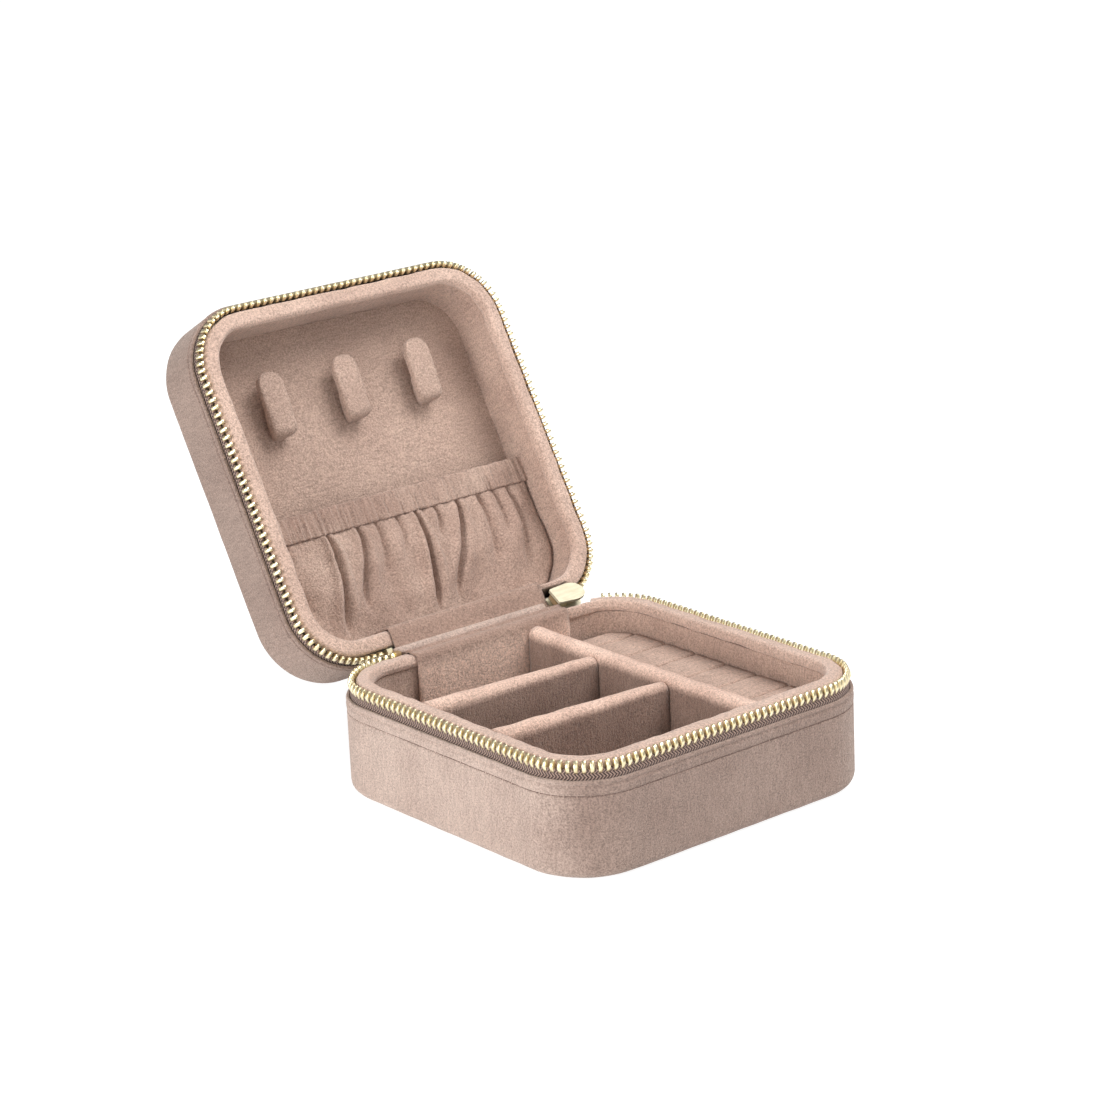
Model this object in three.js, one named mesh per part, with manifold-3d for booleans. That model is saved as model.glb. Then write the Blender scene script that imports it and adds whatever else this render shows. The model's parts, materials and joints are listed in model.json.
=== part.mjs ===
// Travel jewelry case: a square, zip-around, velvet-covered box that stands open on its base.
// Millimetres, +Z up. X runs along the hinge, the front is at -Y and the hinge at +Y.
// The origin is the middle of the base's underside. The lid, the slider and its pull are drawn
// in the closed position and then turned about the hinge axis to the open position.
import * as THREE from 'three';
import { mergeVertices } from 'three/addons/utils/BufferGeometryUtils.js';
import Module from 'manifold-3d';

const wasm = await Module();
wasm.setup();

// ---- driving dimensions -------------------------------------------------------------------
const CASE_SIZE = 100;              // width and depth of the case, over the velvet
const CASE_HEIGHT = 50.2;           // closed height
const CORNER_R = 18;                // outer corner radius in plan
const EDGE_R = 3;                   // rounding of the bottom and top outer edges
const BASE_EDGE = 25;               // height of the base shell's edge, where the tape comes out
const LID_EDGE = 16.3;              // the same for the lid shell, from the lid's top face
const OPEN_ANGLE = THREE.MathUtils.degToRad(120);
const HINGE_Y = 49.6;               // the fabric hinge turns about a line along X
const HINGE_Z = 28.8;
const CLEAR = 0.3;                  // gap between neighbouring pieces
const ARC_STEPS = 8;                // segments in each rounded corner

// Distances in from the outer face, through the thickness of a wall.
const COVER_SKIN = 0.9;             // folded velvet edge outside the zip tape
const COVER_WALL = 1.9;             // velvet and padding below the tape
const TAPE_OUT = 1.2;
const TAPE_IN = 1.9;
const TEETH_OUT = 0.7;
const TEETH_IN = 2.3;
const BOARD_OUT = 2.2;
const BOARD_IN = 3.5;
const LINER_OUT = 3.8;
const LINER_IN = 6.2;
const RIM_OUT = 2.6;
const RIM_IN = 7;
const INSIDE = LINER_IN + CLEAR;    // what stands inside the walls starts here

// Heights along a wall, measured from the shell's edge towards the opening.
const TAPE_SEWN = 4.9;              // length of tape hidden behind the edge
const TEETH_HEIGHT = 2.3;
const RIM_HEIGHT = 3;
const RIM_BELOW_TEETH = 0.2;
const RIM_BEVEL = 0.9;
const BOARD_BELOW_EDGE = 0.3;
const BOARD_THICK = 1.4;

// Hinge fabrics and the zip's ends, all on the rear wall.
const FLAP_HALF = 24.5;             // half width of the inner flap and of the outer spine
const FLAP_THICK = 0.6;
const FLAP_DROP_Z = 12;             // lower end of the flap inside the base
const FLAP_LID_Z = 38;              // its other end, inside the closed lid
const FLAP_FACE_Y = 42;             // front face of the flap on the inner wall
const FLAP_BACK_Y = 48.3;
const SPINE_THICK = 0.8;
const TEETH_START_X = 37.6;         // first tooth after the parked slider
const STOP_LENGTH = 1.7;
const SLIDER_X = 26.6;
const SLIDER_LENGTH = 9.8;
const SLIDER_MID_Y = 48.5;
const SLIDER_MID_Z = 29.1;
const SLIDER_NOTCH_Y = 44.6;        // lining and rims are cut back behind this to let the slider turn

// Compartments.
const FLOOR_TOP = 5.1;
const DIVIDER_TOP = 28;
const SHORT_DIVIDER_TOP = 27.3;
const LONG_DIVIDER_X = 14.4;
const LONG_DIVIDER_THICK = 5.2;
const SHORT_DIVIDER_THICK = 4.7;
const SHORT_DIVIDER_YS = { rear: 15.7, front: -11.3 };
const ROLL_TOP = 20.3;
const ROLL_BOTTOM = 12;
const ROLL_PITCH = 11.6;
const ROLL_SLIT_Y = 0.5;            // the middle slit
const ROLL_SLIT = 0.3;
const ROLL_COUNT = 8;

// Lid lining.
const PANEL_Z = 46.4;
const PANEL_THICK = 0.9;
const HOOK_SPACING = 24;
const HOOK_WIDTH = 7.7;
const HOOK_TIP_Y = -32.2;
const HOOK_FOOT_Y = -14.8;
const BAND_TOP_Y = 6.3;
const BAND_WIDTH = 7;
const BAND_FRONT_Z = 40.6;
const BAND_THICK = 2;
const POUCH_FRONT_Z = 41.2;
const POUCH_SKIN = 0.8;

const HALF = CASE_SIZE / 2;
const REAR = HALF - CORNER_R;       // the rear wall is straight between -REAR and REAR
const BIG = 400;

// ---- colours --------------------------------------------------------------------------------
const matte = (color) => new THREE.MeshStandardMaterial({ color, roughness: 0.95, metalness: 0 });
const gold = () => new THREE.MeshStandardMaterial({ color: '#dcc58c', roughness: 0.3, metalness: 1 });
const OUTER_VELVET = '#c9a99c';
const INNER_VELVET = '#bd9c90';
const RIM_VELVET = '#cfb0a3';
const PANEL_VELVET = '#c2a196';
const POCKET_VELVET = '#b99a8e';
const BOARD = '#8f8578';
const FOAM = '#9a8f86';
const TAPE = '#5e4745';
const ELASTIC = '#e8e2da';

// ---- solids ---------------------------------------------------------------------------------
function toSolid(geometry) {
  const plain = geometry.clone();
  plain.deleteAttribute('normal');
  plain.deleteAttribute('uv');
  const merged = mergeVertices(plain, 1e-4);
  const triVerts = Uint32Array.from(merged.index.array);
  const vertProperties = Float32Array.from(merged.attributes.position.array);
  return new wasm.Manifold(new wasm.Mesh({ numProp: 3, vertProperties, triVerts }));
}

function toGeometry(solid) {
  const mesh = solid.getMesh();
  const geometry = new THREE.BufferGeometry();
  geometry.setAttribute('position', new THREE.BufferAttribute(mesh.vertProperties, 3));
  geometry.setIndex(new THREE.BufferAttribute(mesh.triVerts, 1));
  const faceted = geometry.toNonIndexed();
  faceted.computeVertexNormals();
  return faceted;
}

const combine = (first, rest, operation) => toGeometry(
  rest.reduce((solid, geometry) => solid[operation](toSolid(geometry)), toSolid(first)),
);
const cut = (body, ...tools) => combine(body, tools, 'subtract');
const join = (body, ...others) => combine(body, others, 'add');
const common = (body, ...others) => combine(body, others, 'intersect');

// A box from its ranges in x, y and z, each given as two values in either order.
function block(...ranges) {
  const sizes = ranges.map(([a, b]) => Math.abs(b - a));
  const middles = ranges.map(([a, b]) => (a + b) / 2);
  return new THREE.BoxGeometry(...sizes).translate(...middles);
}

// The case's plan outline, moved inwards.
function outline(inset) {
  const half = HALF - inset;
  const radius = CORNER_R - inset;
  const centre = half - radius;
  const shape = new THREE.Shape();
  shape.absarc(centre, centre, radius, 0, Math.PI / 2);
  shape.absarc(-centre, centre, radius, Math.PI / 2, Math.PI);
  shape.absarc(-centre, -centre, radius, Math.PI, 1.5 * Math.PI);
  shape.absarc(centre, -centre, radius, 1.5 * Math.PI, 2 * Math.PI);
  shape.closePath();
  return shape;
}

function extrudeUp(shape, zA, zB, bevel = 0) {
  const low = Math.min(zA, zB);
  const height = Math.abs(zB - zA);
  return new THREE.ExtrudeGeometry(shape, {
    depth: height - 2 * bevel,
    bevelEnabled: bevel > 0,
    bevelThickness: bevel,
    bevelSize: bevel,
    bevelOffset: -bevel,
    bevelSegments: 2,
    curveSegments: ARC_STEPS,
  }).translate(0, 0, low + bevel);
}

const slab = (inset, zA, zB, bevel) => extrudeUp(outline(inset), zA, zB, bevel);

function ring(outer, inner, zA, zB, bevel) {
  const shape = outline(outer);
  shape.holes.push(outline(inner));
  return extrudeUp(shape, zA, zB, bevel);
}

// A bar's end profile: square at the bottom, its top corners rounded.
function roundTopped(width, height, radius) {
  const half = width / 2;
  const shape = new THREE.Shape();
  shape.moveTo(-half, 0);
  shape.lineTo(half, 0);
  shape.absarc(half - radius, height - radius, radius, 0, Math.PI / 2);
  shape.absarc(radius - half, height - radius, radius, Math.PI / 2, Math.PI);
  shape.closePath();
  return shape;
}

const extrudeAlong = (shape, length) => new THREE.ExtrudeGeometry(shape, {
  depth: length, bevelEnabled: false, curveSegments: ARC_STEPS,
}).translate(0, 0, -length / 2);

// Profiles drawn as (across, up), run along Y or along X about the middle of their length.
const alongY = (shape, length) => extrudeAlong(shape, length).rotateX(Math.PI / 2);
const alongX = (shape, length) => alongY(shape, length).rotateZ(Math.PI / 2);

function polygon(points) {
  return new THREE.Shape(points.map(([x, y]) => new THREE.Vector2(x, y)));
}

function named(name, geometry, material, position = [0, 0, 0]) {
  const mesh = new THREE.Mesh(geometry, material);
  mesh.name = name;
  mesh.position.set(...position);
  return mesh;
}

// ---- the two halves -----------------------------------------------------------------------
// A half is described from its outside face: `at` turns a height above that face into z.
const BASE = {
  name: 'base',
  at: (height) => height,
  edge: BASE_EDGE,
  plate: 1.9,
  tapeShows: 2,
};
const LID = {
  name: 'lid',
  at: (height) => CASE_HEIGHT - height,
  edge: LID_EDGE,
  plate: 1,
  tapeShows: 1.1,
};
for (const half of [BASE, LID]) {
  half.tapeTop = half.edge + half.tapeShows;
  half.teethTop = half.tapeTop + CLEAR + TEETH_HEIGHT;
  half.rimTop = half.teethTop - RIM_BELOW_TEETH;
  half.rimFoot = half.rimTop - RIM_HEIGHT;
  half.boardFoot = half.plate + CLEAR;
  half.boardInside = half.boardFoot + BOARD_THICK;
}

// Room in a half's rear wall for the hinge flap, which lies on the rim.
function flapRoom(half) {
  const depth = 0.8;
  const wide = FLAP_HALF + CLEAR;
  return block([-wide, wide], [REAR, HALF], [half.at(half.rimTop - depth), half.at(half.rimTop + depth)]);
}

// Room for the parked slider to turn as the case opens, from the plane frontY backwards.
function sliderRoom(half, frontY) {
  return block(
    [FLAP_HALF + CLEAR, TEETH_START_X - CLEAR],
    [frontY, HALF],
    [half.at(half.edge - 0.1), half.at(half.teethTop)],
  );
}

// Velvet-covered outside of a half: a tub with a soft outer edge and a thin lip over the tape.
function cover(half) {
  const z = half.at;
  const stepHeight = half.edge - TAPE_SEWN - CLEAR;
  const outside = slab(0, z(0), z(half.edge + EDGE_R), EDGE_R);
  const aboveEdge = slab(-1, z(half.edge), z(half.edge + BIG));
  const inside = slab(COVER_WALL, z(half.plate), z(half.edge + BIG));
  const tapeRebate = slab(COVER_SKIN, z(stepHeight), z(half.edge + BIG));
  return cut(outside, aboveEdge, inside, tapeRebate);
}

// Stiff board tray between the outer velvet and the lining.
function board(half) {
  const z = half.at;
  const outside = slab(BOARD_OUT, z(half.boardFoot), z(half.edge - BOARD_BELOW_EDGE));
  const inside = slab(BOARD_IN, z(half.boardInside), z(half.edge + BIG));
  return cut(outside, inside);
}

function wallLiner(half) {
  const z = half.at;
  const wall = ring(LINER_OUT, LINER_IN, z(half.boardInside + CLEAR), z(half.rimFoot - CLEAR));
  return cut(wall, sliderRoom(half, SLIDER_NOTCH_Y));
}

function rim(half) {
  const z = half.at;
  const roll = ring(RIM_OUT, RIM_IN, z(half.rimFoot), z(half.rimTop), RIM_BEVEL);
  return cut(roll, flapRoom(half), sliderRoom(half, SLIDER_NOTCH_Y));
}

// The tape and the teeth leave out the hinge's width on the rear wall.
function zipTape(half) {
  const z = half.at;
  const wide = FLAP_HALF + CLEAR;
  const strip = ring(TAPE_OUT, TAPE_IN, z(half.edge - TAPE_SEWN), z(half.tapeTop));
  const hinge = block([-wide, wide], [REAR, HALF], [0, CASE_HEIGHT]);
  return cut(strip, hinge, sliderRoom(half, REAR));
}

function zipTeeth(half) {
  const z = half.at;
  const strip = ring(TEETH_OUT, TEETH_IN, z(half.tapeTop + CLEAR), z(half.teethTop));
  const leftEnd = FLAP_HALF + STOP_LENGTH + 2 * CLEAR;
  return cut(strip, block([-leftEnd, TEETH_START_X], [REAR, HALF], [0, CASE_HEIGHT]));
}

function topStop(half) {
  const z = half.at;
  const right = -FLAP_HALF - CLEAR;
  return block(
    [right - STOP_LENGTH, right],
    [HALF - TEETH_IN, HALF - TEETH_OUT],
    [z(half.tapeTop + CLEAR), z(half.teethTop)],
  );
}

// Inner flap: over the rim, then down the inner face of the rear wall.
function hingeFlap(half, endZ) {
  const face = half.rimTop - 0.5;
  const over = half.at(face);
  const top = half.at(face + FLAP_THICK);
  const profile = polygon([
    [FLAP_FACE_Y, endZ],
    [FLAP_FACE_Y + FLAP_THICK + 0.1, endZ],
    [FLAP_FACE_Y + FLAP_THICK + 0.1, over],
    [FLAP_BACK_Y, over],
    [FLAP_BACK_Y, top],
    [FLAP_FACE_Y, top],
  ]);
  return alongX(profile, 2 * FLAP_HALF);
}

// Outer hinge fabric, flush with the velvet, between the shell's edge and the fold.
function hingeSpine(edgeZ, foldZ) {
  return block([-FLAP_HALF, FLAP_HALF], [HALF - SPINE_THICK, HALF], [edgeZ, foldZ]);
}

function shellNodes(half, flapEndZ, spineZ) {
  const n = half.name;
  return [
    named(`${n}_cover`, cover(half), matte(OUTER_VELVET)),
    named(`${n}_board`, board(half), matte(BOARD)),
    named(`${n}_wall_liner`, wallLiner(half), matte(INNER_VELVET)),
    named(`${n}_rim`, rim(half), matte(RIM_VELVET)),
    named(`zip_tape_${n}`, zipTape(half), matte(TAPE)),
    named(`zip_teeth_${n}`, zipTeeth(half), gold()),
    named(`zip_top_stop_${n}`, topStop(half), gold()),
    named(`hinge_flap_${n}`, hingeFlap(half, flapEndZ), matte(INNER_VELVET)),
    named(`hinge_spine_${n}`, hingeSpine(...spineZ), matte(OUTER_VELVET)),
  ];
}

// ---- base fittings ----------------------------------------------------------------------------
const insideWalls = (zA, zB) => slab(INSIDE, zA, zB);

function dividers() {
  const foot = FLOOR_TOP + CLEAR;
  const front = RIM_IN + CLEAR - HALF;
  const back = FLAP_FACE_Y - CLEAR;
  const longProfile = roundTopped(LONG_DIVIDER_THICK, DIVIDER_TOP - foot, LONG_DIVIDER_THICK / 2 - 0.1);
  const shortProfile = roundTopped(
    SHORT_DIVIDER_THICK, SHORT_DIVIDER_TOP - foot, SHORT_DIVIDER_THICK / 2 - 0.1);
  const left = RIM_IN + CLEAR - HALF;
  const right = LONG_DIVIDER_X - LONG_DIVIDER_THICK / 2 - CLEAR;
  const nodes = [
    named('long_divider', alongY(longProfile, back - front), matte(INNER_VELVET),
      [LONG_DIVIDER_X, (front + back) / 2, foot]),
  ];
  for (const [place, y] of Object.entries(SHORT_DIVIDER_YS)) {
    nodes.push(named(`short_divider_${place}`, alongX(shortProfile, right - left),
      matte(INNER_VELVET), [(left + right) / 2, y, foot]));
  }
  return nodes;
}

function ringTray() {
  const left = LONG_DIVIDER_X + LONG_DIVIDER_THICK / 2 + CLEAR;
  const right = HALF - INSIDE;
  const front = INSIDE - HALF;
  const back = FLAP_FACE_Y - CLEAR;
  const foam = common(
    block([left, right], [front, back], [FLOOR_TOP + CLEAR, ROLL_BOTTOM - CLEAR]),
    insideWalls(0, CASE_HEIGHT),
  );
  const nodes = [
    named('ring_foam', foam, matte(FOAM)),
  ];
  const firstSlit = ROLL_SLIT_Y - ROLL_PITCH * (ROLL_COUNT / 2 - 1);
  for (let i = 0; i < ROLL_COUNT; i += 1) {
    const from = i === 0 ? front : firstSlit + ROLL_PITCH * (i - 1) + ROLL_SLIT / 2;
    const to = i === ROLL_COUNT - 1 ? back : firstSlit + ROLL_PITCH * i - ROLL_SLIT / 2;
    const profile = roundTopped(to - from, ROLL_TOP - ROLL_BOTTOM, 2.6);
    const bar = alongX(profile, right - left)
      .translate((left + right) / 2, (from + to) / 2, ROLL_BOTTOM);
    nodes.push(named(`ring_roll_${i + 1}`, common(bar, insideWalls(0, CASE_HEIGHT)), matte(INNER_VELVET)));
  }
  return nodes;
}

function baseNodes() {
  const floor = insideWalls(BASE.boardInside + CLEAR, FLOOR_TOP);
  return [
    ...shellNodes(BASE, FLAP_DROP_Z, [BASE_EDGE + CLEAR, HINGE_Z - 0.6]),
    named('base_floor_pad', floor, matte(INNER_VELVET)),
    ...dividers(),
    ...ringTray(),
  ];
}

// ---- lid fittings -----------------------------------------------------------------------------
// A necklace hook: a padded tongue that leaves the panel at its foot and stands off it at its tip.
function hook() {
  const half = HOOK_WIDTH / 2;
  const plan = new THREE.Shape();
  plan.moveTo(-half, HOOK_FOOT_Y);
  plan.lineTo(-half, HOOK_TIP_Y + half);
  plan.absarc(0, HOOK_TIP_Y + half, half, Math.PI, 2 * Math.PI);
  plan.lineTo(half, HOOK_FOOT_Y);
  plan.closePath();
  const back = PANEL_Z - CLEAR;
  const side = polygon([
    [HOOK_FOOT_Y, back],
    [HOOK_FOOT_Y, 43.2],
    [HOOK_FOOT_Y - 3, 41.2],
    [HOOK_TIP_Y + 4, 39.6],
    [HOOK_TIP_Y, 40.2],
    [HOOK_TIP_Y, 42],
    [HOOK_TIP_Y + 4, 42.6],
    [HOOK_FOOT_Y - 6.5, 43.8],
    [HOOK_FOOT_Y - 4.5, back],
  ]);
  return common(extrudeUp(plan, 0, CASE_HEIGHT), alongX(side, HOOK_WIDTH + 2));
}

// Elastic casing along the pocket's mouth: a flat sleeve that is open at both ends.
function pocketBand() {
  const seam = 0.7;
  const hem = 0.6;
  const length = CASE_SIZE - 2 * INSIDE;
  const body = block(
    [-length / 2, length / 2],
    [BAND_TOP_Y, BAND_TOP_Y + BAND_WIDTH],
    [BAND_FRONT_Z, BAND_FRONT_Z + BAND_THICK],
  );
  const sleeve = block(
    [-length, length],
    [BAND_TOP_Y + seam, BAND_TOP_Y + BAND_WIDTH - seam],
    [BAND_FRONT_Z + hem, BAND_FRONT_Z + BAND_THICK - hem],
  );
  return cut(body, sleeve);
}

function pocketElastic() {
  const length = CASE_SIZE - 2 * INSIDE - 2;
  const side = 1;
  const gap = 0.8;
  return block(
    [-length / 2, length / 2],
    [BAND_TOP_Y + side, BAND_TOP_Y + BAND_WIDTH - side],
    [BAND_FRONT_Z + gap, BAND_FRONT_Z + BAND_THICK - gap],
  );
}

// The pocket's pouch: a shallow bag on the panel, open along the band.
function pouch() {
  const mouth = BAND_TOP_Y + BAND_WIDTH + CLEAR;
  const back = PANEL_Z - CLEAR;
  const outside = common(
    slab(INSIDE, POUCH_FRONT_Z, back),
    block([-HALF, HALF], [mouth, HALF], [0, CASE_HEIGHT]),
  );
  return cut(outside, slab(INSIDE + POUCH_SKIN, POUCH_FRONT_Z + POUCH_SKIN, back + 1));
}

function lidNodes() {
  const nodes = [
    ...shellNodes(LID, FLAP_LID_Z, [HINGE_Z + 1.3, CASE_HEIGHT - LID_EDGE - CLEAR]),
    named('lid_panel', insideWalls(PANEL_Z, PANEL_Z + PANEL_THICK), matte(PANEL_VELVET)),
    named('pocket_pouch', pouch(), matte(POCKET_VELVET)),
    named('pocket_band', pocketBand(), matte(POCKET_VELVET)),
    named('pocket_elastic', pocketElastic(), matte(ELASTIC)),
  ];
  ['left', 'middle', 'right'].forEach((place, i) => {
    nodes.push(named(`necklace_hook_${place}`, hook(), matte(PANEL_VELVET), [(i - 1) * HOOK_SPACING, 0, 0]));
  });
  return nodes;
}

// ---- zip slider and pull ----------------------------------------------------------------------
const CHANNEL_HALF = 1.4;           // half the gap between the slider's plates
const PLATE_THICK = 0.8;
const SLIDER_NOSE = 3.0;            // half heights of the plates
const SLIDER_TAIL = 2.6;
const SLIDER_SHOULDER = 5.4;        // from the tail to where the plates start to round off
const POST_FROM_TAIL = 7.8;
const BRIDGE_HALF = 0.6;
const PULL_AXIS_X = 31;
const PULL_AXIS_Y = 51.5;
const PULL_ARM_IN = 0.9;
const PULL_ARM_OUT = 1.5;
const PULL_TAB_HALF = 2.2;
const PULL_LENGTH = 18.5;
const PULL_EYE = 4.3;               // the eye reaches past the bridge from the pull's own axis

function sliderPlate(y) {
  const shape = new THREE.Shape();
  shape.moveTo(0, -SLIDER_TAIL + 0.6);
  shape.quadraticCurveTo(0, -SLIDER_TAIL, 0.8, -SLIDER_TAIL);
  shape.lineTo(SLIDER_SHOULDER, -SLIDER_NOSE);
  shape.quadraticCurveTo(SLIDER_LENGTH, -SLIDER_NOSE, SLIDER_LENGTH, 0);
  shape.quadraticCurveTo(SLIDER_LENGTH, SLIDER_NOSE, SLIDER_SHOULDER, SLIDER_NOSE);
  shape.lineTo(0.8, SLIDER_TAIL);
  shape.quadraticCurveTo(0, SLIDER_TAIL, 0, SLIDER_TAIL - 0.6);
  shape.closePath();
  return alongY(shape, PLATE_THICK).translate(SLIDER_X, y, SLIDER_MID_Z);
}

function sliderBody() {
  const inner = sliderPlate(SLIDER_MID_Y - CHANNEL_HALF - PLATE_THICK / 2);
  const outer = sliderPlate(SLIDER_MID_Y + CHANNEL_HALF + PLATE_THICK / 2);
  const outerFace = SLIDER_MID_Y + CHANNEL_HALF + PLATE_THICK;
  const overlap = 0.2;
  const around = (middle, half) => [middle - half, middle + half];
  const post = block(
    around(SLIDER_X + POST_FROM_TAIL, 1.1),
    around(SLIDER_MID_Y, CHANNEL_HALF + overlap),
    around(SLIDER_MID_Z, 0.8),
  );
  const arch = block(
    around(PULL_AXIS_X, 3.5),
    [outerFace - overlap, outerFace + 2.7],
    around(SLIDER_MID_Z, BRIDGE_HALF),
  );
  const eye = block(
    around(PULL_AXIS_X, 2.3),
    [outerFace, outerFace + 1.6],
    around(SLIDER_MID_Z, BRIDGE_HALF + 1),
  );
  return join(inner, outer, post, cut(arch, eye));
}

// The pull points straight out from the slider: a cross bar through the bridge, two arms, a tab.
function pull() {
  const tabStart = PULL_EYE + 1.2;
  const shape = new THREE.Shape();
  shape.moveTo(-0.45, -PULL_ARM_OUT);
  shape.lineTo(tabStart - 1, -PULL_ARM_OUT);
  shape.lineTo(tabStart + 1.5, -PULL_TAB_HALF);
  shape.lineTo(PULL_LENGTH - PULL_TAB_HALF, -PULL_TAB_HALF);
  shape.absarc(PULL_LENGTH - PULL_TAB_HALF, 0, PULL_TAB_HALF, -Math.PI / 2, Math.PI / 2);
  shape.lineTo(tabStart + 1.5, PULL_TAB_HALF);
  shape.lineTo(tabStart - 1, PULL_ARM_OUT);
  shape.lineTo(-0.45, PULL_ARM_OUT);
  shape.closePath();
  const eye = polygon([
    [0.45, -PULL_ARM_IN], [PULL_EYE, -PULL_ARM_IN], [PULL_EYE, PULL_ARM_IN], [0.45, PULL_ARM_IN],
  ]);
  shape.holes.push(eye);
  return alongX(shape, 1);
}

function sliderNodes() {
  const stop = block(
    [SLIDER_X + 0.4, SLIDER_X + 3.6],
    [SLIDER_MID_Y - 0.7, SLIDER_MID_Y + 0.7],
    [SLIDER_MID_Z - 1.9, SLIDER_MID_Z + 1.9],
  );
  return [
    named('zip_slider', sliderBody(), gold()),
    named('zip_bottom_stop', stop, gold()),
    named('zip_pull', pull(), gold(), [PULL_AXIS_X, PULL_AXIS_Y, SLIDER_MID_Z]),
  ];
}

// ---- assembly ---------------------------------------------------------------------------------
// Turns meshes drawn in the closed position about the hinge axis.
function turned(meshes, angle) {
  const group = new THREE.Group();
  group.position.set(0, HINGE_Y, HINGE_Z);
  group.rotation.x = -angle;
  const drawing = new THREE.Group();
  drawing.position.set(0, -HINGE_Y, -HINGE_Z);
  drawing.add(...meshes);
  group.add(drawing);
  return group;
}

const jewelryCase = new THREE.Group();
jewelryCase.name = 'travel_jewelry_case';
jewelryCase.add(...baseNodes());
jewelryCase.add(turned(lidNodes(), OPEN_ANGLE));
jewelryCase.add(turned(sliderNodes(), OPEN_ANGLE / 2));

export default jewelryCase;
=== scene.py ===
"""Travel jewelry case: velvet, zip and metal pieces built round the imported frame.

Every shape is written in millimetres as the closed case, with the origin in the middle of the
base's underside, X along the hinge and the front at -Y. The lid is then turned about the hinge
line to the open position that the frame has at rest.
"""

import json
import math

import bmesh
import bpy
from mathutils import Matrix, Vector, noise


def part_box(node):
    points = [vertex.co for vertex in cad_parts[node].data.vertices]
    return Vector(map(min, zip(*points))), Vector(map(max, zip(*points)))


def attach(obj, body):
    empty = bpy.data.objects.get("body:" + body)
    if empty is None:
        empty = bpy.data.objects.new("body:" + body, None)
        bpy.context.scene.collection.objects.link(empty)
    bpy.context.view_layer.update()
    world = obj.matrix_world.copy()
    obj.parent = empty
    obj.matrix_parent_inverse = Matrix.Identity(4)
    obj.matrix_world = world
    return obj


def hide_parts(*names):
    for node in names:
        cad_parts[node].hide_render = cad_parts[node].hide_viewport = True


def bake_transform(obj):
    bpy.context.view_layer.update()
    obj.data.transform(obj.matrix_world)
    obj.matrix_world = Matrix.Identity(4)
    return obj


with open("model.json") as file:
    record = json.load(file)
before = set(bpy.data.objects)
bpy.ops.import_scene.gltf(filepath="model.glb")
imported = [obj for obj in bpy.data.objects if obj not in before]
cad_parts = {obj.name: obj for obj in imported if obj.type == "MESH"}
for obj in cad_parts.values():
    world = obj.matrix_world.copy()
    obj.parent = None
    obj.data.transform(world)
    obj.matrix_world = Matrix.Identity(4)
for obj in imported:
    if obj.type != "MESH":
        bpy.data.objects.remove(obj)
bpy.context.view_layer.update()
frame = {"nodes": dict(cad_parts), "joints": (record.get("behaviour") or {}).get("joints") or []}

# ---- driving dimensions, in millimetres -----------------------------------------------------
M = 0.001
JOINTS = {joint["name"]: joint for joint in frame["joints"]}
HINGE = Vector(JOINTS["lid_hinge"]["pos_m"]) / M
OPEN_ANGLE = -math.radians(JOINTS["lid_hinge"]["range_deg"][0])
TURN = {"base": 0.0, "lid": OPEN_ANGLE, "slider": OPEN_ANGLE / 2, "pull": OPEN_ANGLE / 2}
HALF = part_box("base_cover")[1][0] / M
CORNER_R = 18.0
SIDE = 2 * (HALF - CORNER_R)            # straight length of each wall
ARC = CORNER_R * math.pi / 2
ROUND = 4 * (SIDE + ARC)                # once round the outline
STEP = 1.6                              # spacing of the stations round it
GAP = 0.3
SEAM_DROP = {"base": 3.8, "lid": 1.4}   # stitch line below each cover's edge


def closing(body):
    """Matrix that takes a point of a body, in millimetres, from the closed case to its rest place."""
    to_hinge = Matrix.Translation(HINGE)
    return to_hinge @ Matrix.Rotation(-TURN[body], 4, "X") @ to_hinge.inverted()


def span(node, body):
    """Lowest and highest corner of a CAD node as it is in the closed case, in millimetres."""
    back = closing(body).inverted()
    points = [back @ (v.co / M) for v in frame["nodes"][node].data.vertices]
    low = Vector([min(p[i] for p in points) for i in range(3)])
    high = Vector([max(p[i] for p in points) for i in range(3)])
    return low, high


LID_TOP = span("lid_cover", "lid")[1].z


class Half:
    """One half of the case: heights are measured from its outside face towards the opening."""

    def __init__(self, body):
        self.body = body
        self.flip = body == "lid"
        self.edge = self.reach(f"{body}_cover")
        self.tape_top = self.reach(f"zip_tape_{body}")
        self.teeth_top = self.reach(f"zip_teeth_{body}")
        self.rim_top = self.reach(f"{body}_rim")
        self.seam = self.edge - SEAM_DROP[body]

    def reach(self, node):
        low, high = span(node, self.body)
        return LID_TOP - low.z if self.flip else high.z

    def z(self, height):
        return LID_TOP - height if self.flip else height

    height = z                          # the same mirror takes a z back to a height


BASE = Half("base")
LID = Half("lid")


# ---- mesh helpers ---------------------------------------------------------------------------
def build(name, points, faces, body, material, replaces=(), uvs=None):
    """A smooth object from points in the closed case. It rides on its body at the rest place.

    With no body the points are already at rest, and the piece is left unattached.
    """
    matrix = closing(body) if body else Matrix()
    mesh = bpy.data.meshes.new(name)
    mesh.from_pydata([(matrix @ Vector(p)) * M for p in points], [], faces)
    if uvs:
        layer = mesh.uv_layers.new(name="UVMap")
        for loop in mesh.loops:
            layer.data[loop.index].uv = uvs[loop.vertex_index]
    tidy = bmesh.new()
    tidy.from_mesh(mesh)
    bmesh.ops.recalc_face_normals(tidy, faces=tidy.faces)
    tidy.to_mesh(mesh)
    tidy.free()
    mesh.shade_smooth()
    piece = bpy.data.objects.new(name, mesh)
    bpy.context.scene.collection.objects.link(piece)
    mesh.materials.append(material)
    if body:
        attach(piece, body)
    if replaces:
        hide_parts(*replaces)
    return piece


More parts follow.
